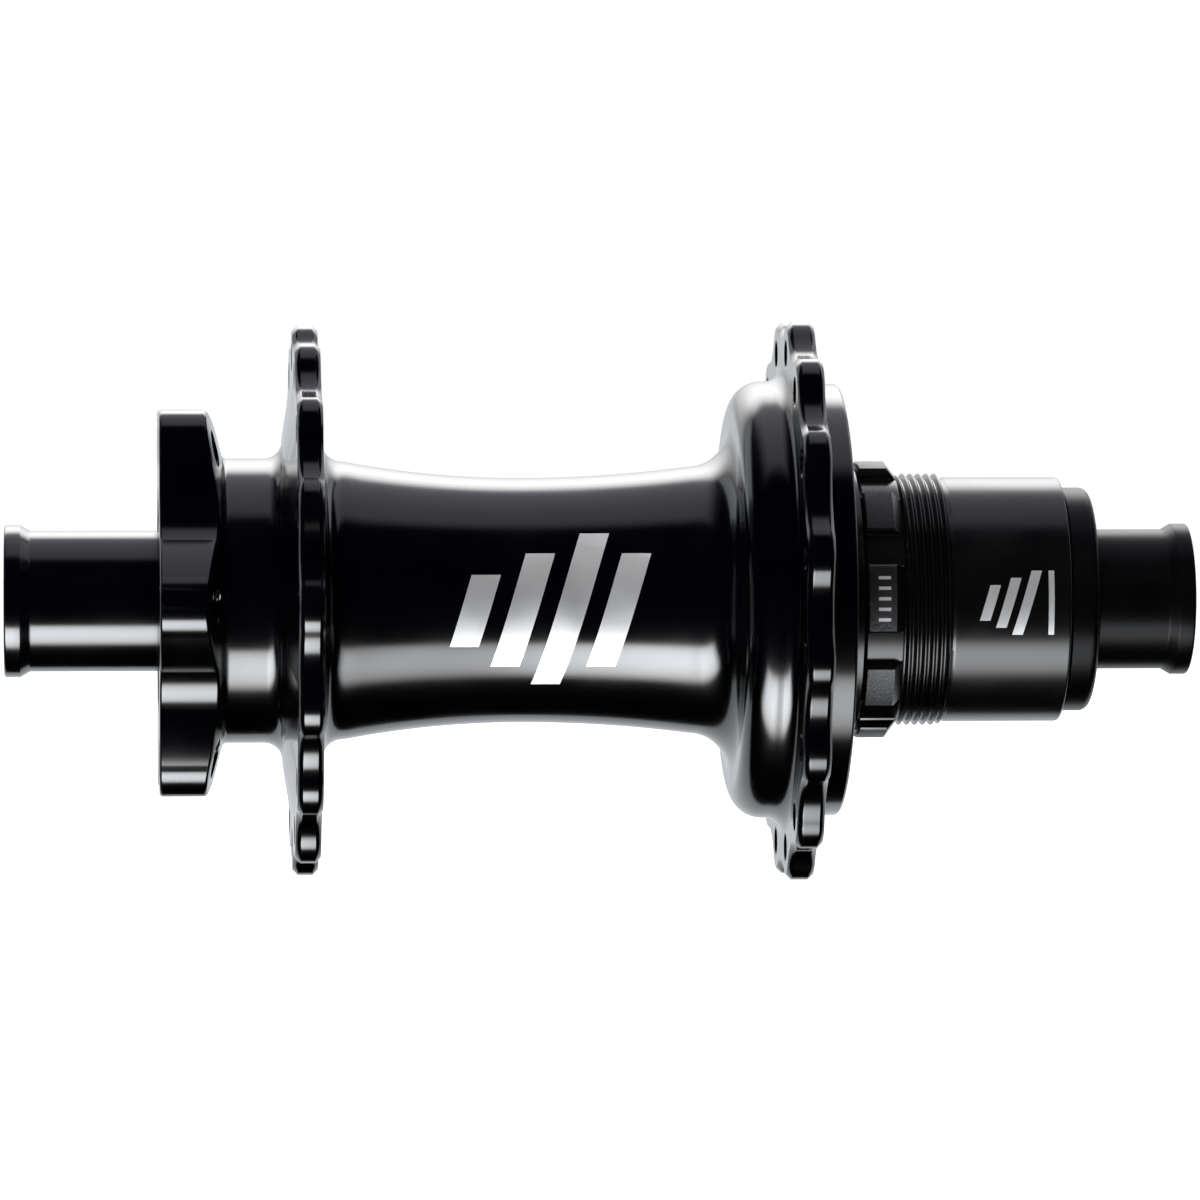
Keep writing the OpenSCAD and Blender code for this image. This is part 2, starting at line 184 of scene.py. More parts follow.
def skin(name, rows, angles, gap=None):
    """Closed skin round the axle line. Each row is (radius, x), as numbers or one value an angle.

    No faces are made between row gap and the next row.
    """
    count = len(angles)
    points = []
    for radius, x in rows:
        radius = np.broadcast_to(radius, count)
        x = np.broadcast_to(x, count)
        points.append(np.stack([x, radius * np.cos(angles), radius * np.sin(angles)], 1))
    points = np.concatenate(points) * MM
    total = len(rows)
    faces = []
    for i in range(total):
        if i == gap:
            continue
        a, b = i * count, (i + 1) % total * count
        for j in range(count):
            k = (j + 1) % count
            faces.append((a + j, a + k, b + k, b + j))
    obj = new_object(name, points.tolist(), faces)
    face_outwards(obj)
    return obj


def face_outwards(obj):
    bm = bmesh.new()
    bm.from_mesh(obj.data)
    bmesh.ops.recalc_face_normals(bm, faces=bm.faces)
    if bm.calc_volume(signed=True) < 0:
        bmesh.ops.reverse_faces(bm, faces=bm.faces)
    bm.to_mesh(obj.data)
    bm.free()


def weld(obj):
    bm = bmesh.new()
    bm.from_mesh(obj.data)
    bmesh.ops.remove_doubles(bm, verts=bm.verts, dist=1e-7)
    bm.to_mesh(obj.data)
    bm.free()


def smooth(obj, angle=0.6):
    """Smooth shading with a crease at every edge that bends more than the angle."""
    bm = bmesh.new()
    bm.from_mesh(obj.data)
    for face in bm.faces:
        face.smooth = True
    for edge in bm.edges:
        edge.smooth = len(edge.link_faces) == 2 and edge.calc_face_angle(0) < angle
    bm.to_mesh(obj.data)
    bm.free()


def weigh_normals(obj):
    modifier = obj.modifiers.new("weighted_normals", "WEIGHTED_NORMAL")
    modifier.keep_sharp = True


def cut(obj, cutters):
    """Subtracts the cutters, joined into one, and applies the result."""
    bpy.ops.object.select_all(action="DESELECT")
    for cutter in cutters:
        cutter.select_set(True)
    bpy.context.view_layer.objects.active = cutters[0]
    if len(cutters) > 1:
        bpy.ops.object.join()
    modifier = obj.modifiers.new("cut", "BOOLEAN")
    modifier.object = cutters[0]
    modifier.operation = "DIFFERENCE"
    modifier.solver = "MANIFOLD"
    bpy.ops.object.select_all(action="DESELECT")
    bpy.context.view_layer.objects.active = obj
    bpy.ops.object.modifier_apply(modifier=modifier.name)
    bpy.data.objects.remove(cutters[0])


def arc(centre, radius, start, end, steps):
    """Rows on an arc in the (radius, x) plane; angles in degrees."""
    sweep = np.radians(np.linspace(start, end, steps + 1))
    return [(centre[0] + radius * math.cos(a), centre[1] + radius * math.sin(a)) for a in sweep]


def rounded(corners, steps=3):
    """Rows through the corners. Each is (radius, x) or (radius, x, fillet)."""
    rows = []
    for i, corner in enumerate(corners):
        here = Vector(corner[:2])
        fillet = corner[2] if len(corner) > 2 else 0.0
        if not fillet:
            rows.append(tuple(here))
            continue
        before = (Vector(corners[i - 1][:2]) - here).normalized()
        after = (Vector(corners[(i + 1) % len(corners)][:2]) - here).normalized()
        bend = before.angle(after)
        reach = fillet / math.tan(bend / 2)
        middle = here + (before + after).normalized() * fillet / math.sin(bend / 2)
        start = here + before * reach - middle
        first = math.atan2(start.y, start.x)
        side = before.x * after.y - before.y * after.x
        sweep = math.copysign(math.pi - bend, -side)
        for t in np.linspace(0, 1, steps + 1):
            angle = first + sweep * t
            rows.append((middle.x + fillet * math.cos(angle), middle.y + fillet * math.sin(angle)))
    return rows


# ---- outlines that change round the axle ----


def lobed(angles, count, circle, lobe_r, hollow_circle, hollow_r, phase=0.0, inset=0.0):
    """Radius at each angle of a lobed outline, drawn in from it by the inset."""
    half = math.pi / count
    reach_x = hollow_circle * math.cos(half) - circle
    reach_y = hollow_circle * math.sin(half)
    spare = min(1.0, (lobe_r + hollow_r) / math.hypot(reach_x, reach_y))
    flank = math.atan2(reach_y, reach_x) - math.acos(spare)
    lobe = np.linspace(0, flank, 60)
    hollow = np.linspace(flank - half, 0, 60)
    lobe_x = circle + (lobe_r - inset) * np.cos(lobe)
    lobe_y = (lobe_r - inset) * np.sin(lobe)
    hollow_x = hollow_circle - (hollow_r + inset) * np.cos(hollow)
    hollow_y = -(hollow_r + inset) * np.sin(hollow)
    x = np.concatenate([lobe_x, hollow_x * math.cos(half) - hollow_y * math.sin(half)])
    y = np.concatenate([lobe_y, hollow_x * math.sin(half) + hollow_y * math.cos(half)])
    from_lobe = np.abs((angles - phase + half) % (2 * half) - half)
    return np.interp(from_lobe, np.arctan2(y, x), np.hypot(x, y))


def flange(angles, hole_circle, phase, inset=0.0):
    half = math.pi / SPOKES
    circle = hole_circle + LOBE_REACH - LOBE_R
    floor = hole_circle + LOBE_REACH - LOBE_DEPTH
    rise = floor - circle * math.cos(half)
    across = circle * math.sin(half)
    valley = (rise ** 2 + across ** 2 - LOBE_R ** 2) / (2 * (LOBE_R - rise))
    return lobed(angles, SPOKES, circle, LOBE_R, floor + valley, valley, phase, inset)


def arms(angles, inset=0.0):
    return lobed(angles, BOLTS, BOLT_CIRCLE, ARM_R, SCALLOP_FLOOR + SCALLOP_R, SCALLOP_R,
                 inset=inset)


def chamfer_steps(width, ease=0.09):
    """(inset, depth) of the rows of a chamfer with eased corners, from wall to face."""
    return [(0.0, width + ease), (0.3 * ease, width), (width, 0.3 * ease), (width + ease, 0.0)]


def flange_rows(angles, hole_circle, phase, faces, root_before, root_after):
    """Rows over a flange's rim: up one face, over the chamfered edge and down the other."""
    rows = [root_before]
    steps = chamfer_steps(FLANGE_CHAMFER)
    rows.append((hole_circle - FLANGE_LAND, faces[0]))
    for inset, depth in reversed(steps):
        rows.append((flange(angles, hole_circle, phase, inset), faces[0] + depth))
    for inset, depth in steps:
        rows.append((flange(angles, hole_circle, phase, inset), faces[1] - depth))
    rows.append((hole_circle - FLANGE_LAND, faces[1]))
    rows.append(root_after)
    return rows


# ---- hub shell ----


def cone_x(radius):
    """x on the cone behind the disc mount's arms."""
    (r0, x0), (r1, x1) = MOUNT_BACK
    return x0 + (radius - r0) * (x1 - x0) / (r1 - r0)


def mount_rows(angles):
    rows = [(BEARING_28_R + 0.4, DISC_FACE)]
    for inset, depth in reversed(chamfer_steps(0.25, 0.08)):
        rows.append((arms(angles, inset), DISC_FACE + depth))
    outline = arms(angles)
    for inset, depth in chamfer_steps(0.2, 0.08):
        radius = arms(angles, inset)
        rows.append((radius, cone_x(radius) - depth))
    for share in (0.3, 0.6, 0.85):
        radius = outline + (NECK_R + 0.5 - outline) * share
        rows.append((radius, cone_x(radius)))
    rows += [(NECK_R + 0.25, -46.95), (NECK_R + 0.04, -46.7), (NECK_R, -46.35)]
    return rows


def waist_rows():
    rows = []
    for (start, end, bend) in ((-31.5, WAIST_X, WAIST_BEND[0]), (WAIST_X, COVE_X, WAIST_BEND[1])):
        for x in np.linspace(start, end, 15)[1 if rows else 0:]:
            rows.append((WAIST_R + bend - math.sqrt(bend ** 2 - (x - WAIST_X) ** 2), float(x)))
    return rows


def shell_rows(angles):
    rows = mount_rows(angles)
    rows += arc((NECK_R + NECK_FILLET, NECK_END), NECK_FILLET, 180, 95, 8)
    rows += flange_rows(angles, size("disc_side_spokes", "pcd_mm") / 2, 0.0, DISC_FLANGE,
                        (21.0, DISC_FLANGE[0] - 1.1), (21.5, DISC_FLANGE[1] + 0.42))
    rows += arc((19.9, -32.0), 2.6, 268, 183, 8)
    waist = waist_rows()
    rows += waist
    rows += arc((waist[-1][0] + COVE_R, COVE_X), COVE_R, 174, 92, 10)
    shoulder_x = COVE_X + COVE_R + SHOULDER_R
    rows += arc((HOUSING_R - SHOULDER_R, shoulder_x), SHOULDER_R, 272, 360, 12)
    rows += arc((HOUSING_R + FLANGE_FILLET, DRIVE_FLANGE[0] - FLANGE_FILLET), FLANGE_FILLET,
                180, 92, 8)
    rows += flange_rows(angles, size("drive_side_spokes", "pcd_mm") / 2, DRIVE_PHASE,
                        DRIVE_FLANGE, (29.8, DRIVE_FLANGE[0]), (27.9, DRIVE_FLANGE[1]))
    rows += [(27.3, DRIVE_FLANGE[1] + 0.12), (27.04, DRIVE_FLANGE[1] + 0.4)]
    rows += rounded([(RIM_R, RIM_FACE - 0.6), (RIM_R, RIM_FACE - 0.3, 0.08),
                     (RIM_R - 0.3, RIM_FACE, 0.08), (25.6, RIM_FACE),
                     (RING_SEAT_R + 0.3, RIM_FACE, 0.05), (RING_SEAT_R, RIM_FACE - 0.3, 0.05),
                     (RING_SEAT_R, RING_START), (TOOTH_TIP_R, RING_START),
                     (TOOTH_TIP_R, HOUSING_FLOOR), (BEARING_28_R, HOUSING_FLOOR)])
    rows += [(BEARING_28_R, SHELL_BEARING_START), (SHELL_BORE_R, SHELL_BEARING_START),
             (SHELL_BORE_R, DISC_BEARING_END), (BEARING_28_R, DISC_BEARING_END),
             (BEARING_28_R, DISC_FACE + 0.4)]
    return rows


def hourglass(x0, x1, radius, sink, circle, angle, steps=32):
    """Cutter for a through hole that is countersunk at both faces."""
    over = 0.3  # how far the cutter stands out of each face
    stations = [(x0 - over, radius + sink + over), (x0 + sink, radius), (x1 - sink, radius),
                (x1 + over, radius + sink + over)]
    return plug(stations, circle, angle, steps)


def plug(stations, circle, angle, steps):
    """Closed round solid along X; each station is (x, radius) or (x, a radius for each side)."""
    sides = ring_angles(steps)
    centre = (circle * math.cos(angle), circle * math.sin(angle))
    vertices = []
    for x, radius in stations:
        radius = np.broadcast_to(radius, steps)
        for r, a in zip(radius, sides):
            vertices.append((x * MM, (centre[0] + r * math.cos(a)) * MM,
                             (centre[1] + r * math.sin(a)) * MM))
    faces = []
    for i in range(len(stations) - 1):
        for j in range(steps):
            k = (j + 1) % steps
            faces.append((i * steps + j, i * steps + k, (i + 1) * steps + k, (i + 1) * steps + j))
    last = (len(stations) - 1) * steps
    faces.append(tuple(range(steps - 1, -1, -1)))
    faces.append(tuple(last + j for j in range(steps)))
    obj = new_object("cutter", vertices, faces)
    face_outwards(obj)
    return obj


def tap(angle, pitch=0.8, depth=0.36, steps=24):
    """Cutter for a threaded bolt hole, with a short countersink at the disc's face."""
    sides = ring_angles(steps)
    stations = [(DISC_FACE - 0.4, BOLT_R + 0.9), (DISC_FACE + 0.5, BOLT_R)]
    for x in np.arange(DISC_FACE + 0.7, DISC_FACE + 11.5, pitch / 8):
        share = (x / pitch - sides / TURN) % 1.0
        stations.append((x, BOLT_R + depth * np.clip(1.6 - 3.6 * np.abs(share - 0.5), 0, 1)))
    return plug(stations, BOLT_CIRCLE, angle, steps)


def hub_shell():
    angles = ring_angles(COLUMNS)
    obj = skin("hub_shell_skin", shell_rows(angles), angles)
    cutters = []
    for mount, faces, phase in (("disc_side_spokes", DISC_FLANGE, 0.0),
                                ("drive_side_spokes", DRIVE_FLANGE, DRIVE_PHASE)):
        for i in range(SPOKES):
            cutters.append(hourglass(*faces, SPOKE_R, SPOKE_SINK, size(mount, "pcd_mm") / 2,
                                     phase + i * TURN / SPOKES))
    cutters += [tap(i * TURN / BOLTS) for i in range(BOLTS)]
    cut(obj, cutters)
    return obj


# ---- driver ----


def spline_profile(degrees):
    """Radius of the splined section at each angle: bevelled tops, steep walls, eased roots."""
    pitch = 360 / SPLINES
    turned = (degrees - SPLINE_PHASE + pitch / 2) % 360
    half = np.where(turned < pitch, WIDE_HALF, SPLINE_HALF)
    off = np.abs(turned % pitch - pitch / 2) - half
    return np.interp(off, (-0.9, 0.0, 0.06, 0.7),
                     (SPLINE_R, SPLINE_R - 0.22, SPLINE_FLOOR + 0.15, SPLINE_FLOOR))


def driver_angles():
    """Even columns, plus the columns where a spline's wall, bevel and root start and end."""
    degrees = list(np.arange(0, 360, 0.625))
    for i in range(SPLINES):
        half = SPLINE_HALF if i else WIDE_HALF
        for side in (-1, 1):
            for off in (-0.9, 0.0, 0.06, 0.7):
                degrees.append((SPLINE_PHASE + i * 360 / SPLINES + side * (half + off)) % 360)
    return np.unique(np.round(degrees, 4))


def driver_rows(angles):
    rows = rounded([(BEARING_24_R + 0.3, CARRIER_START), (CARRIER_R, CARRIER_START, 0.2),
                    (CARRIER_R, CARRIER_END, 0.3), (DRIVER_NECK_R, CARRIER_END, 0.2),
                    (DRIVER_NECK_R, SPLINE_X[0] - 0.3), (DRIVER_NECK_R - 0.4, SPLINE_X[0])])
    outline = spline_profile(np.degrees(angles))
    for inset, depth in reversed(chamfer_steps(0.22, 0.06)):
        rows.append((outline - inset, SPLINE_X[0] + depth))
    rows.append((outline, SPLINE_X[1] - 0.15))
    slope = (SPLINE_R - SPLINE_FLOOR + 0.1) / (SPLINE_X[2] - SPLINE_X[1])
    for x in np.arange(SPLINE_X[1], SPLINE_X[2] + 0.01, 0.15):
        rows.append((np.minimum(outline, SPLINE_R - slope * (x - SPLINE_X[1])), float(x)))
    rows.append((THREAD_ROOT, THREAD_X[0]))
    gap = len(rows) - 1
    rows.append((THREAD_ROOT, THREAD_X[1]))
    rows += rounded([(BARREL_R, THREAD_X[1] + 0.35, 0.1), (BARREL_R, BARREL_END, 0.35),
                     (BEARING_24_R + 0.3, BARREL_END, 0.05), (BEARING_24_R, BARREL_END - 0.3),
                     (BEARING_24_R, SNAP_X[1]), (SNAP_R, SNAP_X[1]), (SNAP_R, SNAP_X[0]),
                     (BEARING_24_R, SNAP_X[0]), (BEARING_24_R, DRIVER_BEARINGS[1]),
                     (DRIVER_BORE_R, DRIVER_BEARINGS[1]),
                     (DRIVER_BORE_R, DRIVER_BEARINGS[0]), (BEARING_24_R, DRIVER_BEARINGS[0]),
                     (BEARING_24_R, CARRIER_START + 0.3)])
    return rows, gap


def thread(angles):
    """The thread as one helical strip, which runs in and out at both ends."""
    turns = np.append(angles, angles[0] + TURN) / TURN
    per_pitch = 16
    steps = int((THREAD_X[1] - THREAD_X[0]) / THREAD_PITCH + 2) * per_pitch
    vertices = []
    for i in range(steps + 1):
        share = i / per_pitch
        x = THREAD_X[0] + (share - 1 + turns) * THREAD_PITCH
        x = np.clip(x, *THREAD_X)
        flank = abs(share % 1 - 0.5)
        height = (THREAD_R - THREAD_ROOT) * min(1.0, max(0.0, (flank - 0.08) / 0.34))
        run_in = np.clip(np.minimum(x - THREAD_X[0], THREAD_X[1] - x) / 0.45, 0, 1)
        radius = THREAD_ROOT + height * run_in
        angle = turns * TURN
        points = np.stack([x, radius * np.cos(angle), radius * np.sin(angle)], 1)
        vertices += (points * MM).tolist()
    count = len(turns)
    faces = []
    for i in range(steps):
        for j in range(count - 1):
            a = i * count + j
            faces.append((a, a + 1, a + count + 1, a + count))
    return new_object("thread", vertices, faces)


def pawl_socket(i):
    """Cutters for one pawl's pin and for the pocket that its arm swings in."""
    angle = i * TURN / PAWLS
    pin = plug([(x, PAWL_PIN_R) for x in PAWL_X], PAWL_CIRCLE, angle, 48)
    vertices = []
    for x in PAWL_X:
        for out, across in PAWL_POCKET:
            y = PAWL_CIRCLE + out
            vertices.append((x * MM, (y * math.cos(angle) - across * math.sin(angle)) * MM,
                             (y * math.sin(angle) + across * math.cos(angle)) * MM))
    n = len(PAWL_POCKET)
    faces = [tuple(range(n)), tuple(range(2 * n - 1, n - 1, -1))]
    faces += [(j, j + n, (j + 1) % n + n, (j + 1) % n) for j in range(n)]
    pocket = new_object("cutter", vertices, faces)
    face_outwards(pocket)
    return pin, pocket


def driver_body():
    angles = np.radians(driver_angles())
    rows, gap = driver_rows(angles)
    obj = skin("driver_body_skin", rows, angles, gap)
    strip = thread(angles)
    bpy.ops.object.select_all(action="DESELECT")
    strip.select_set(True)
    obj.select_set(True)
    bpy.context.view_layer.objects.active = obj
    bpy.ops.object.join()
    weld(obj)
    face_outwards(obj)
    for i in range(PAWLS):
        for cutter in pawl_socket(i):
            cut(obj, [cutter])
    return obj


# ---- end caps ----


def cap_rows(inner, outside):
    """One end cap's closed profile; outside is its part between the inner end and the tube."""
    end = DRIVE_END
    return rounded([(SOCKET_R, inner)] + outside + [
        (CAP_TUBE_R, end - 3.2, 0.6), (LIP_R, end - 2.0, 0.3), (LIP_R, end, 0.35),
        (BORE_R, end, 0.45), (BORE_R, AXLE_END), (SOCKET_R, AXLE_END), (SOCKET_R, GROOVE_X[1]),
        (GROOVE_R, GROOVE_X[1]), (GROOVE_R, GROOVE_X[0]), (SOCKET_R, GROOVE_X[0])], 5)


def disc_end_cap():
    rows = cap_rows(50.5, [(9.6, 50.5), (9.6, 51.3), (10.5, 51.3), (10.5, 54.8, 0.15),
                           (CAP_TUBE_R, 54.8)])
    rows = [(radius, -x) for radius, x in rows]
    return skin("disc_end_cap_skin", rows, ring_angles(256))


def drive_end_cap():
    rows = cap_rows(56.0, [(9.0, 56.0), (9.0, 57.4), (10.5, 57.4), (10.5, 57.9),
                           (14.0, 57.9, 0.2), (14.0, 61.4, 1.1), (8.5, 61.4, 0.1),
                           (8.5, 62.0), (CAP_TUBE_R, 62.0, 0.12)])
    return skin("drive_end_cap_skin", rows, ring_angles(256))


# ---- etched marks: plain generic bars ----


def waist_radius(x):
    bend = WAIST_BEND[0] if x < WAIST_X else WAIST_BEND[1]
    return WAIST_R + bend - math.sqrt(bend ** 2 - (x - WAIST_X) ** 2)


def bars(name, quads, radius_at, angle, lift=0.02, sink=0.03, steps=(20, 30)):
    """Thin bars wrapped on a round surface. A quad is four (x, distance round) corners."""
    vertices, faces = [], []
    across, along = steps
    for quad in quads:
        a, b, c, d = (np.array(p) for p in quad)
        first = len(vertices)
        for height in (lift, -sink):
            for i in range(along + 1):
                for j in range(across + 1):
                    u, v = j / across, i / along
                    x, arc_length = (a * (1 - u) + b * u) * (1 - v) + (d * (1 - u) + c * u) * v
                    radius = radius_at(x)
                    turn = angle + arc_length / radius
                    radius += height
                    vertices.append((x * MM, radius * math.cos(turn) * MM,
                                     radius * math.sin(turn) * MM))
        row = across + 1
        under = row * (along + 1)
        for i in range(along):
            for j in range(across):
                k = first + i * row + j
                faces.append((k, k + 1, k + row + 1, k + row))
                faces.append((k + under, k + under + row, k + under + row + 1, k + under + 1))
        rim = [first + j for j in range(across)]
        rim += [first + i * row + across for i in range(along)]
        rim += [first + along * row + j for j in range(across, 0, -1)]
        rim += [first + i * row for i in range(along, 0, -1)]
        for i, k in enumerate(rim):
            after = rim[(i + 1) % len(rim)]
            faces.append((k, k + under, after + under, after))
    obj = new_object(name, vertices, faces)
    face_outwards(obj)
    return obj


def slanted(centre, width, height, lean):
    """Corners of a bar that leans along x; the height runs round the surface."""
    x, s = centre
    return [(x - width / 2 + lean / 2, s - height / 2), (x + width / 2 + lean / 2, s - height / 2),
            (x + width / 2 - lean / 2, s + height / 2), (x - width / 2 - lean / 2, s + height / 2)]


def waist_mark():
    heights = (9.0, 14.5, 20.0, 14.5)
    quads = [slanted((-16.2 + 5.9 * i, 0.9), 3.6, height, 0.3 * height)
             for i, height in enumerate(heights)]
    return bars("waist_bars", quads, waist_radius, VIEWER)


def barrel_mark():
    quads = [slanted((47.4 + 2.3 * i, 0.0), 1.3, height, 0.3 * height)
             for i, height in enumerate((4.4, 6.2, 8.0))]
    quads.append(slanted((55.0, 0.0), 0.7, 8.0, 0.0))
    return bars("barrel_bars", quads, lambda x: BARREL_R, VIEWER, 0.015, 0.03, (6, 24))


def spline_mark():
    quads = [slanted((34.1, -2.6 + 1.3 * i), 1.5, 0.4, 0.0) for i in range(5)]
    return bars("spline_ticks", quads, lambda x: SPLINE_R, math.radians(SPLINE_PHASE),
                0.012, 0.03, (4, 2))


# ---- materials ----


def add(tree, kind, inputs=None, **settings):
    """Adds a shader node. An input is a constant or another node's output socket."""
    node = tree.nodes.new(kind)
    for key, value in settings.items():
        setattr(node, key, value)
    for key, value in (inputs or {}).items():
        if isinstance(value, bpy.types.NodeSocket):
            tree.links.new(value, node.inputs[key])
        else:
            node.inputs[key].default_value = value
    return node


def noise(tree, coordinates, scale, detail=2.0):
    inputs = {"Vector": coordinates, "Scale": scale, "Detail": detail}
    return add(tree, "ShaderNodeTexNoise", inputs).outputs["Fac"]


def spread(tree, value, low, high, start=0.3, end=0.7):
    """Maps a texture's value from start..end to low..high."""
    inputs = {"Value": value, "From Min": start, "From Max": end, "To Min": low, "To Max": high}
    return add(tree, "ShaderNodeMapRange", inputs).outputs["Result"]


def blend(tree, factor, first, second):
    node = add(tree, "ShaderNodeMix", data_type="RGBA")
    tree.links.new(factor, node.inputs["Factor"])
    for socket, value in ((node.inputs["A"], first), (node.inputs["B"], second)):
        if isinstance(value, bpy.types.NodeSocket):
            tree.links.new(value, socket)
        else:
            socket.default_value = (*value, 1.0)
    return node.outputs["Result"]


def turning_lines(tree, coordinates, per_metre):
    """Height of fine rings, as a lathe's tool leaves them, that vary from one to the next."""
    x = add(tree, "ShaderNodeSeparateXYZ", {"Vector": coordinates}).outputs["X"]
    wobble = noise(tree, coordinates, 90.0)
    shift = add(tree, "ShaderNodeMath", {0: wobble, 1: 0.00025}, operation="MULTIPLY")
    moved = add(tree, "ShaderNodeMath", {0: x, 1: shift.outputs[0]}, operation="ADD")
    line = add(tree, "ShaderNodeMath", {0: moved.outputs[0], 1: per_metre}, operation="MULTIPLY")
    inputs = {"W": line.outputs[0], "Scale": 1.0, "Detail": 1.0}
    return add(tree, "ShaderNodeTexNoise", inputs, noise_dimensions="1D").outputs["Fac"]


def finish(name, dark, light, worn, roughness, grain, grain_depth, metallic=0.0, ior=1.5,
           lines=0.0, line_depth=0.0, wear=0.5):
    """A finish with mottled colour and roughness, fine grain, turning lines and worn edges."""
    made = bpy.data.materials.new(name)
    made.use_nodes = True
    tree = made.node_tree
    shader = tree.nodes["Principled BSDF"]
    shader.inputs["Metallic"].default_value = metallic
    shader.inputs["IOR"].default_value = ior
    coordinates = add(tree, "ShaderNodeTexCoord").outputs["Object"]
    cloud = noise(tree, coordinates, 140.0, 4.0)
    speck = noise(tree, coordinates, grain, 3.0)
    edge = add(tree, "ShaderNodeNewGeometry").outputs["Pointiness"]
    edge = spread(tree, edge, 0.0, wear, 0.53, 0.62)
    rubbed = add(tree, "ShaderNodeMath", {0: edge, 1: spread(tree, speck, 0.2, 1.0)},
                 operation="MULTIPLY").outputs[0]
    colour = blend(tree, spread(tree, cloud, 0.0, 1.0), dark, light)
    tree.links.new(blend(tree, rubbed, colour, worn), shader.inputs["Base Color"])
    rough = add(tree, "ShaderNodeMath", {0: spread(tree, cloud, *roughness),
                                         1: spread(tree, speck, -0.015, 0.015)}, operation="ADD")
    rough = add(tree, "ShaderNodeMath", {0: rubbed, 1: 0.12, 2: rough.outputs[0]},
                operation="MULTIPLY_ADD")
    tree.links.new(rough.outputs[0], shader.inputs["Roughness"])
    bump = add(tree, "ShaderNodeBump", {"Height": speck, "Distance": grain_depth * MM})
    if lines:
        height = turning_lines(tree, coordinates, lines)
        bump = add(tree, "ShaderNodeBump", {"Height": height, "Distance": line_depth * MM,
                                            "Normal": bump.outputs["Normal"]})
    tree.links.new(bump.outputs["Normal"], shader.inputs["Normal"])
    return made


GLOSS_BLACK = finish("black_anodised", (0.0004, 0.0006, 0.002), (0.001, 0.0013, 0.003),
                     (0.05, 0.05, 0.052), (0.13, 0.17), 5200.0, 0.0006, ior=1.6,
                     lines=3500.0, line_depth=0.0002, wear=0.25)
SATIN_BLACK = finish("satin_anodised", (0.002, 0.002, 0.0026), (0.0045, 0.0045, 0.0052),
                     (0.06, 0.06, 0.06), (0.2, 0.25), 6000.0, 0.001, ior=1.5,
                     lines=6000.0, line_depth=0.0026, wear=0.4)
MATTE_BLACK = finish("matte_anodised", (0.0018, 0.0018, 0.0024), (0.0035, 0.0035, 0.0042),
                     (0.05, 0.05, 0.05), (0.26, 0.31), 6000.0, 0.0012, ior=1.18,
                     lines=7000.0, line_depth=0.0018, wear=0.3)
BLASTED_BLACK = finish("blasted_anodised", (0.004, 0.004, 0.0048), (0.014, 0.014, 0.016),
                       (0.06, 0.06, 0.06), (0.4, 0.5), 3600.0, 0.07, ior=1.5, wear=0.3)
STEEL = finish("bearing_steel", (0.52, 0.53, 0.55), (0.62, 0.63, 0.65), (0.72, 0.72, 0.73),
               (0.1, 0.18), 8000.0, 0.0004, metallic=1.0, lines=9000.0, line_depth=0.0008)
TOOL_STEEL = finish("tool_steel", (0.2, 0.2, 0.215), (0.3, 0.3, 0.31), (0.55, 0.55, 0.56),
                    (0.26, 0.36), 6000.0, 0.002, metallic=1.0, lines=5000.0, line_depth=0.001)
BRASS = finish("cage_brass", (0.5, 0.37, 0.15), (0.62, 0.48, 0.22), (0.75, 0.62, 0.35),
               (0.25, 0.36), 6000.0, 0.0015, metallic=1.0, lines=4000.0, line_depth=0.001)
RUBBER = finish("rubber", (0.006, 0.006, 0.006), (0.014, 0.014, 0.014), (0.03, 0.03, 0.03),
                (0.55, 0.7), 5000.0, 0.008, ior=1.45, wear=0.3)
ETCHED = finish("etched_silver", (0.62, 0.62, 0.63), (0.74, 0.74, 0.75), (0.85, 0.85, 0.85),
                (0.42, 0.5), 9000.0, 0.006, metallic=0.5, wear=0.2)

BY_SLOT = {"black_anodised": GLOSS_BLACK, "satin_anodised": SATIN_BLACK, "bearing_steel": STEEL,
           "tool_steel": TOOL_STEEL, "cage_brass": BRASS, "rubber": RUBBER}


def dress(obj, *materials):
    obj.data.materials.clear()
    for material in materials:
        obj.data.materials.append(material)


def blast_spline_tops(obj):
    """Gives the tops of the splines their own, blasted finish."""
    for face in obj.data.polygons:
        x, y, z = face.center / MM
        top = math.hypot(y, z) > SPLINE_R - 0.05 and SPLINE_X[0] < x < SPLINE_X[1] + 0.1
        face.material_index = 1 if top else 0


# ---- studio ----


def ramp(tree, place, stops):
    """A colour ramp through (place, colour) stops; a colour may be one grey number."""
    node = add(tree, "ShaderNodeValToRGB", {"Fac": place})
    elements = node.color_ramp.elements
    while len(elements) < len(stops):
        elements.new(0.5)
    for element, (at, value) in zip(elements, stops):
        element.position = at
        element.color = (*value, 1.0) if isinstance(value, tuple) else (value,) * 3 + (1.0,)
    return node.outputs["Color"]


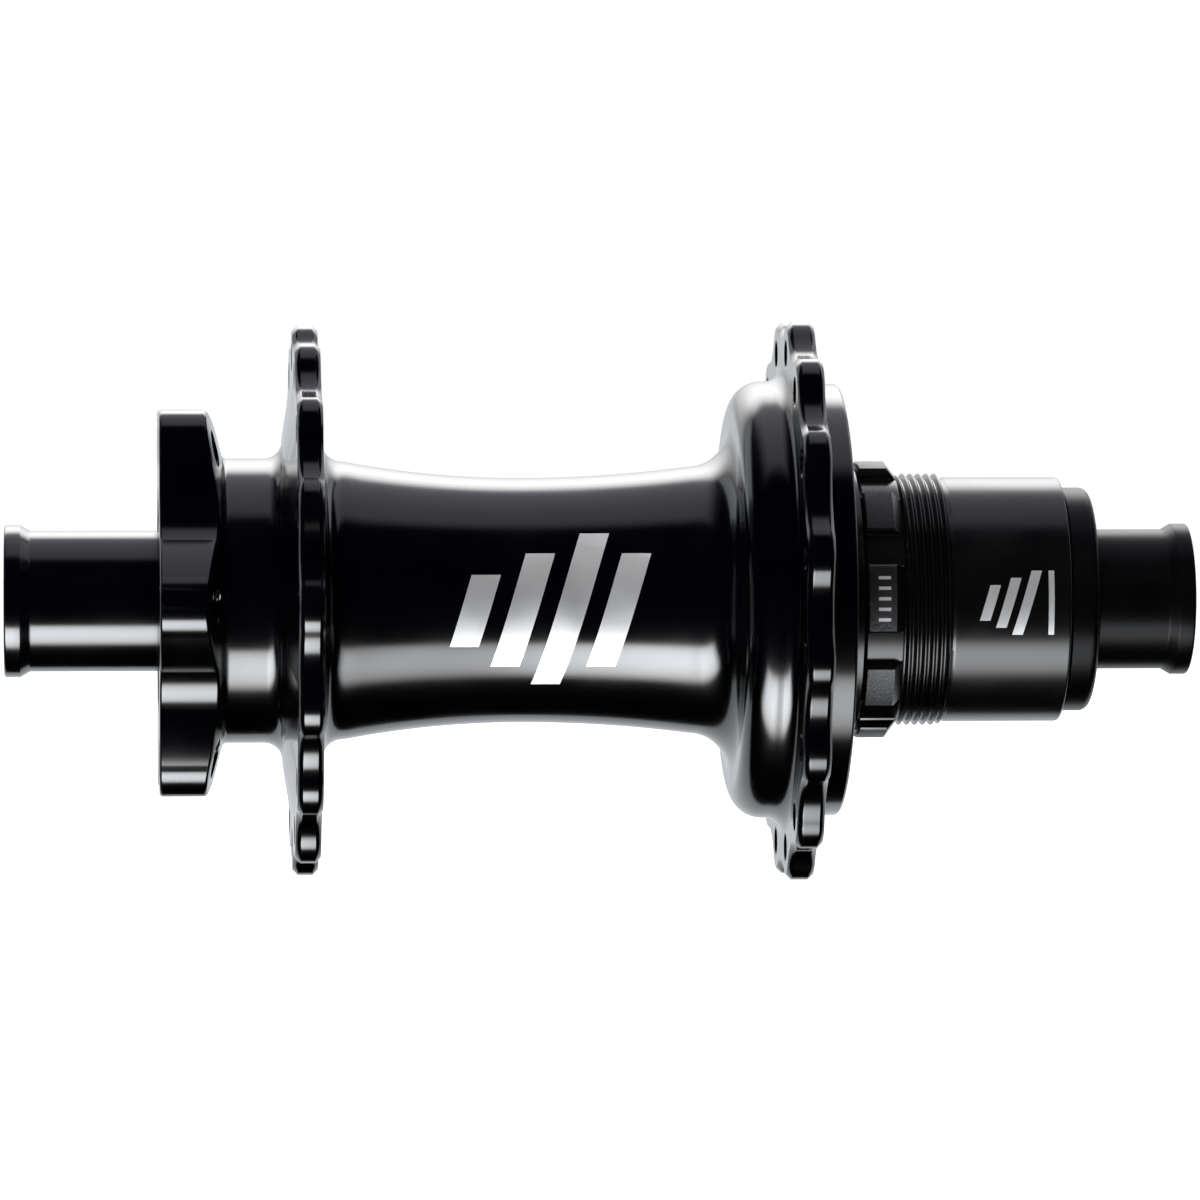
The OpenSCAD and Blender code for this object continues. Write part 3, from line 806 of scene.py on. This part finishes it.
def panel(name, centre, size_xy, tilt, radiance, across, along=((0.0, 1.0), (1.0, 1.0))):
    """A softbox that only reflections see, with a ramp over its height and one along x."""
    half_x, half_y = size_xy[0] / 2, size_xy[1] / 2
    corners = [(-half_x, -half_y, 0), (half_x, -half_y, 0), (half_x, half_y, 0),
               (-half_x, half_y, 0)]
    obj = new_object(name, corners, [(0, 1, 2, 3)])
    obj.location = centre
    obj.rotation_euler.x = math.radians(tilt)
    glow = bpy.data.materials.new(name)
    glow.use_nodes = True
    tree = glow.node_tree
    tree.nodes.clear()
    place = add(tree, "ShaderNodeTexCoord").outputs["Generated"]
    place = add(tree, "ShaderNodeSeparateXYZ", {"Vector": place})
    colour = add(tree, "ShaderNodeMix", {"Factor": 1.0}, data_type="RGBA", blend_type="MULTIPLY")
    tree.links.new(ramp(tree, place.outputs["Y"], across), colour.inputs["A"])
    tree.links.new(ramp(tree, place.outputs["X"], along), colour.inputs["B"])
    emission = add(tree, "ShaderNodeEmission",
                   {"Color": colour.outputs["Result"], "Strength": radiance})
    add(tree, "ShaderNodeOutputMaterial", {"Surface": emission.outputs["Emission"]})
    dress(obj, glow)
    obj.visible_camera = False
    obj.visible_diffuse = False
    obj.visible_shadow = False


def studio():
    cool, dusk = (0.92, 0.96, 1.0), (0.9, 0.87, 1.0)
    panel("softbox_below", (-0.1, -0.71, -1.0), (2.4, 1.2), 0, 16.5,
          [(0.0, 0.0), (0.14, 0.7), (0.35, cool), (0.58, cool), (0.76, 0.7), (0.9, 0.0)],
          [(0.0, 0.0), (0.2, 0.8), (0.47, 1.0), (0.53, 0.8), (0.59, 0.41), (0.69, 0.42),
           (1.0, 0.0)])
    panel("softbox_above", (0, 0.155, 1.0), (2.0, 1.04), 0, 0.95,
          [(0.0, 0.0), (0.15, (0.64, 0.62, 0.7)), (1.0, dusk)],
          [(0.0, 0.0), (0.15, 0.1), (0.38, 1.0), (0.92, 1.0), (1.0, 0.0)])
    panel("softbox_behind", (0, 1.0, 0.83), (1.6, 1.3), 90, 9.0,
          [(0.0, 0.12), (0.2, 0.3), (0.45, 0.6), (0.7, 0.6), (1.0, 0.1)],
          [(0.0, 0.0), (0.2, 0.8), (0.3, 1.0), (0.7, 1.0), (0.8, 0.8), (1.0, 0.0)])
    panel("white_wall", (0, 1.1, 0.1), (9.0, 2.3), 90, 1.0,
          [(0.0, cool), (1.0, cool)])
    lamp = bpy.data.lights.new("fill", "AREA")
    lamp.shape = "RECTANGLE"
    lamp.size, lamp.size_y = 1.2, 0.8
    lamp.energy = 18.0
    fill = bpy.data.objects.new("fill", lamp)
    fill.location = (-0.2, -0.9, 1.0)
    fill.rotation_euler = (math.radians(42), 0, math.radians(-12))
    fill.visible_glossy = False
    bpy.context.scene.collection.objects.link(fill)

    world = bpy.data.worlds.new("white")
    bpy.context.scene.world = world
    world.use_nodes = True
    world.node_tree.nodes["Background"].inputs["Color"].default_value = (1, 1, 1, 1)
    world.cycles_visibility.glossy = False
    world.cycles_visibility.diffuse = False

    floor = new_object("floor", [(-6, -6, 0), (6, -6, 0), (6, 6, 0), (-6, 6, 0)],
                       [(0, 1, 2, 3)])
    floor.location.z = cad_bounds[0].z - 0.0002
    pale = bpy.data.materials.new("pale_floor")
    pale.use_nodes = True
    shader = pale.node_tree.nodes["Principled BSDF"]
    shader.inputs["Base Color"].default_value = (0.85, 0.85, 0.85, 1)
    shader.inputs["Roughness"].default_value = 0.9
    shader.inputs["Emission Color"].default_value = (1, 1, 1, 1)
    shader.inputs["Emission Strength"].default_value = 1.0
    dress(floor, pale)
    floor.visible_glossy = False
    floor.visible_diffuse = False
    floor.visible_shadow = False


def camera(azimuth, elevation, distance, aim_x, lens):
    data = bpy.data.cameras.new("camera")
    data.lens = lens
    data.sensor_width = 36.0
    data.clip_start, data.clip_end = 0.05, 50.0
    obj = bpy.data.objects.new("camera", data)
    turn, rise = math.radians(azimuth), math.radians(elevation)
    back = Vector((math.sin(turn) * math.cos(rise), -math.cos(turn) * math.cos(rise),
                   math.sin(rise)))
    obj.location = Vector((aim_x, 0, 0)) + back * distance
    obj.rotation_euler = (-back).to_track_quat("-Z", "Y").to_euler()
    bpy.context.scene.collection.objects.link(obj)
    bpy.context.scene.camera = obj


# ---- the hub ----


def put(obj, body, slot, replaced, *materials):
    smooth(obj)
    weigh_normals(obj)
    dress(obj, *materials)
    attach(obj, body)
    if replaced:
        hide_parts(replaced)


camera(azimuth=-4.1, elevation=1.75, distance=0.875, aim_x=0.00021, lens=210.0)
studio()

slots = {part["node"]: part["material_slot"] for part in frame["record"]["subparts"]}
for node_name, node_object in frame["nodes"].items():
    smooth(node_object)
    dress(node_object, BY_SLOT[slots[node_name]])

put(hub_shell(), "shell", "black_anodised", "hub_shell", GLOSS_BLACK)
driver = driver_body()
put(driver, "driver", "satin_anodised", "driver_body", SATIN_BLACK, BLASTED_BLACK)
blast_spline_tops(driver)
put(disc_end_cap(), "axle", "black_anodised", "disc_end_cap", GLOSS_BLACK)
put(drive_end_cap(), "axle", "black_anodised", "drive_end_cap", MATTE_BLACK)
put(waist_mark(), "shell", None, None, ETCHED)
put(barrel_mark(), "driver", None, None, ETCHED)
put(spline_mark(), "driver", None, None, ETCHED)

bpy.context.scene.view_settings.view_transform = "Standard"
